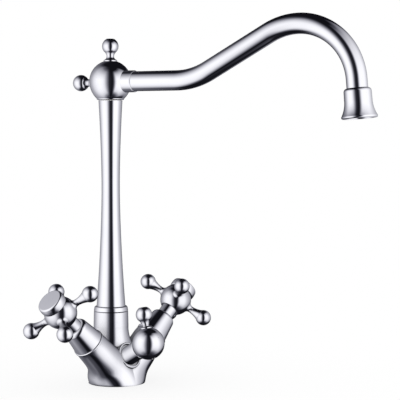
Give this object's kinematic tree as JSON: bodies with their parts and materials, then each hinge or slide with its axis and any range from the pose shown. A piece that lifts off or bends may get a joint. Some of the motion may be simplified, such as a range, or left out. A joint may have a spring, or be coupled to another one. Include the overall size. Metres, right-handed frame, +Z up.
{
  "type": "kitchen mixer tap",
  "caption": "Deck-mounted kitchen mixer: Y-shaped body with cross handles, waisted column, ball head with finial, swivelling goose-neck spout and a small front shut-off valve.",
  "frame": {"origin": "centre of the round foot where it sits on the worktop", "axes": "+Z up; -Y towards the user, along the middle of the spout's swing; -X towards the hot valve and +X towards the cold valve"},
  "size_m": [0.1876, 0.2897, 0.3302],
  "materials": {
    "chrome": "mirror-polished chrome plate",
    "brass": "machined brass",
    "steel": "turned stainless steel",
    "rubber": "black nitrile rubber",
    "ceramic": "lapped white alumina ceramic",
    "acetal": "natural white acetal",
    "insert_plastic": "pale grey moulded plastic"
  },
  "bodies": {
    "faucet_body": {"valve_body": "chrome", "foot_gasket": "rubber", "column_collar": "chrome", "column": "chrome", "column_seal": "rubber", "swivel_post": "brass", "post_seals": "rubber", "glide_ring": "acetal", "swivel_screw": "steel", "front_nose": "chrome", "front_collar": "chrome", "front_cartridge": "brass", "front_fixed_disc": "ceramic", "hot_seat_ring": "chrome", "hot_bonnet": "chrome", "hot_neck_sleeve": "chrome", "hot_cartridge": "brass", "hot_seat_seal": "rubber", "hot_fixed_disc": "ceramic", "cold_seat_ring": "chrome", "cold_bonnet": "chrome", "cold_neck_sleeve": "chrome", "cold_cartridge": "brass", "cold_seat_seal": "rubber", "cold_fixed_disc": "ceramic"},
    "spout": {"head_ball": "chrome", "finial": "chrome", "rear_knob": "chrome", "spout_ring": "chrome", "spout_tube": "chrome", "tube_end_bush": "brass", "nozzle": "chrome", "nozzle_washer": "rubber", "nozzle_insert": "insert_plastic"},
    "hot_handle": {"hot_moving_disc": "ceramic", "hot_spindle": "brass", "hot_stem_seal": "rubber", "hot_cross_handle": "chrome", "hot_handle_screw": "steel", "hot_handle_cap": "chrome"},
    "cold_handle": {"cold_moving_disc": "ceramic", "cold_spindle": "brass", "cold_stem_seal": "rubber", "cold_cross_handle": "chrome", "cold_handle_screw": "steel", "cold_handle_cap": "chrome"},
    "front_handle": {"front_moving_disc": "ceramic", "front_spindle": "brass", "front_stem_seal": "rubber", "front_ball": "chrome", "front_lever": "chrome", "front_grub_screw": "steel"}
  },
  "joints": [
    {"name": "spout_swivel", "type": "hinge", "parent": "faucet_body", "child": "spout", "pos_m": [0, 0.0075, 0.2584], "axis": [0, 0, 1], "continuous": true},
    {"name": "hot_handle_turn", "type": "hinge", "parent": "faucet_body", "child": "hot_handle", "pos_m": [-0.05832, -0.0052, 0.05896], "axis": [-0.729, 0, 0.6845], "range_deg": [0, 90]},
    {"name": "cold_handle_turn", "type": "hinge", "parent": "faucet_body", "child": "cold_handle", "pos_m": [0.05832, -0.0052, 0.05896], "axis": [0.729, 0, 0.6845], "range_deg": [-90, 0]},
    {"name": "front_valve_turn", "type": "hinge", "parent": "faucet_body", "child": "front_handle", "pos_m": [0, -0.03586, 0.03649], "axis": [0, -0.8829, 0.4695], "range_deg": [0, 90]}
  ]
}
